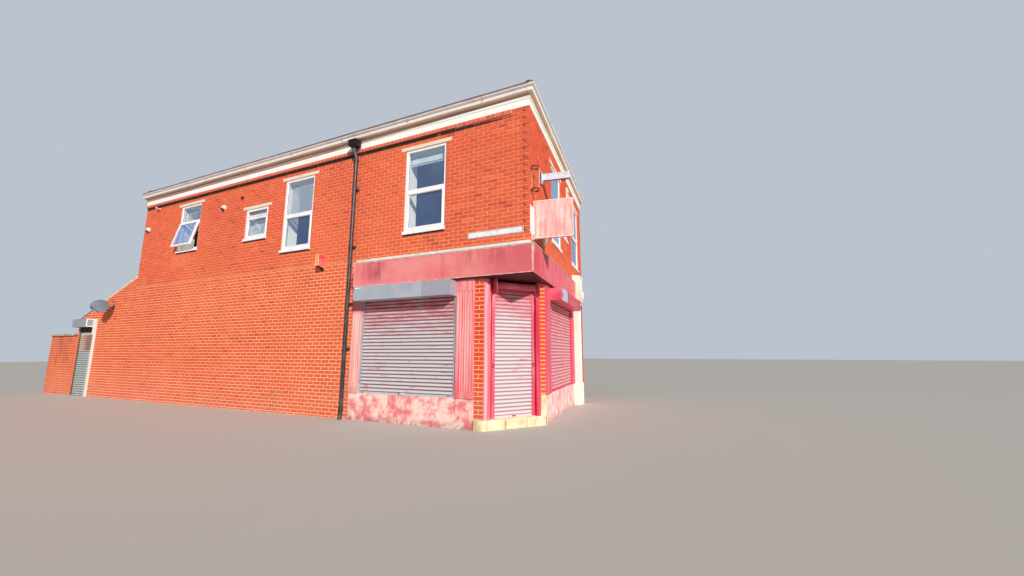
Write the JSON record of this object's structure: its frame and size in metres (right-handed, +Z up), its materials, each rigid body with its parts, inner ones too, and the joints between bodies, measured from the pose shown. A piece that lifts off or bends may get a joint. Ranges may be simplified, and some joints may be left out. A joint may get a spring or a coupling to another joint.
{
  "type": "corner shop building",
  "caption": "Two-storey red brick corner shop with a chamfered doorway, roller shutters, moulded eaves, lean-to and yard gate.",
  "frame": {"origin": "middle of the main block's footprint, on the ground", "axes": "+X along the side street to the street corner, -Y out of the side face, +Z up"},
  "size_m": [19.9552, 6.2903, 10.8],
  "materials": {
    "brick": "matte brick",
    "party_brick": "matte brick",
    "stone": "matte",
    "render": "painted, worn",
    "concrete": "matte",
    "slate": "satin",
    "clay": "matte",
    "timber": "matte",
    "pink_paint": "faded gloss paint",
    "red_paint": "gloss paint",
    "dark_paint": "satin paint",
    "cream_paint": "masonry paint",
    "white_paint": "gloss paint",
    "soffit_paint": "weathered",
    "upvc": "gloss",
    "glass": "clear",
    "galvanised": "satin",
    "pink_metal": "faded",
    "guide_metal": "satin",
    "black_iron": "gloss paint",
    "lead": "dull",
    "white_metal": "gloss",
    "rust_metal": "rusty",
    "sign_face": "faded",
    "alarm": "faded",
    "grey_metal": "satin"
  },
  "bodies": {
    "root": {"ground_floor": "concrete", "upper_floor": "timber", "ceiling": "timber", "side_wall_lower": "brick", "side_wall_upper": "brick", "front_wall_lower": "brick", "front_wall_upper": "brick", "rear_wall": "brick", "party_wall": "party_brick", "shop_beam": "dark_paint", "corner_plinth": "cream_paint", "corner_piers": "brick", "eaves_plate": "timber", "roof_side": "slate", "roof_front": "slate", "roof_rear": "slate", "roof_ridge": "clay", "chimney_stack": "brick", "chimney_pots": "clay", "frieze": "white_paint", "eaves_soffit": "soffit_paint", "eaves_cornice": "white_paint", "window_lintels": "stone", "window_sills": "upvc", "window_frames": "upvc", "window_glass": "glass", "open_sash": "upvc", "stallrisers": "render", "pilasters": "pink_paint", "cream_pilaster": "cream_paint", "fascia": "pink_paint", "fascia_soffit": "dark_paint", "fascia_flashing": "lead", "door_lining": "red_paint", "door_shutter": "pink_metal", "door_roller": "pink_metal", "side_shutter": "galvanised", "front_shutter": "pink_metal", "shutter_boxes": "galvanised", "shutter_guides": "guide_metal", "downpipe": "black_iron", "hoop_bracket": "rust_metal", "sign_arm": "white_metal", "sign_panel": "sign_face", "street_plate": "white_metal", "alarm_box": "alarm", "wall_lamps": "upvc", "lean_to_walls": "brick", "lean_to_roof": "slate", "copings": "stone", "satellite_dish": "grey_metal", "gate_posts": "white_metal", "gate_shutter": "grey_metal", "gate_shutter_box": "grey_metal", "yard_wall": "party_brick"}
  },
  "joints": []
}
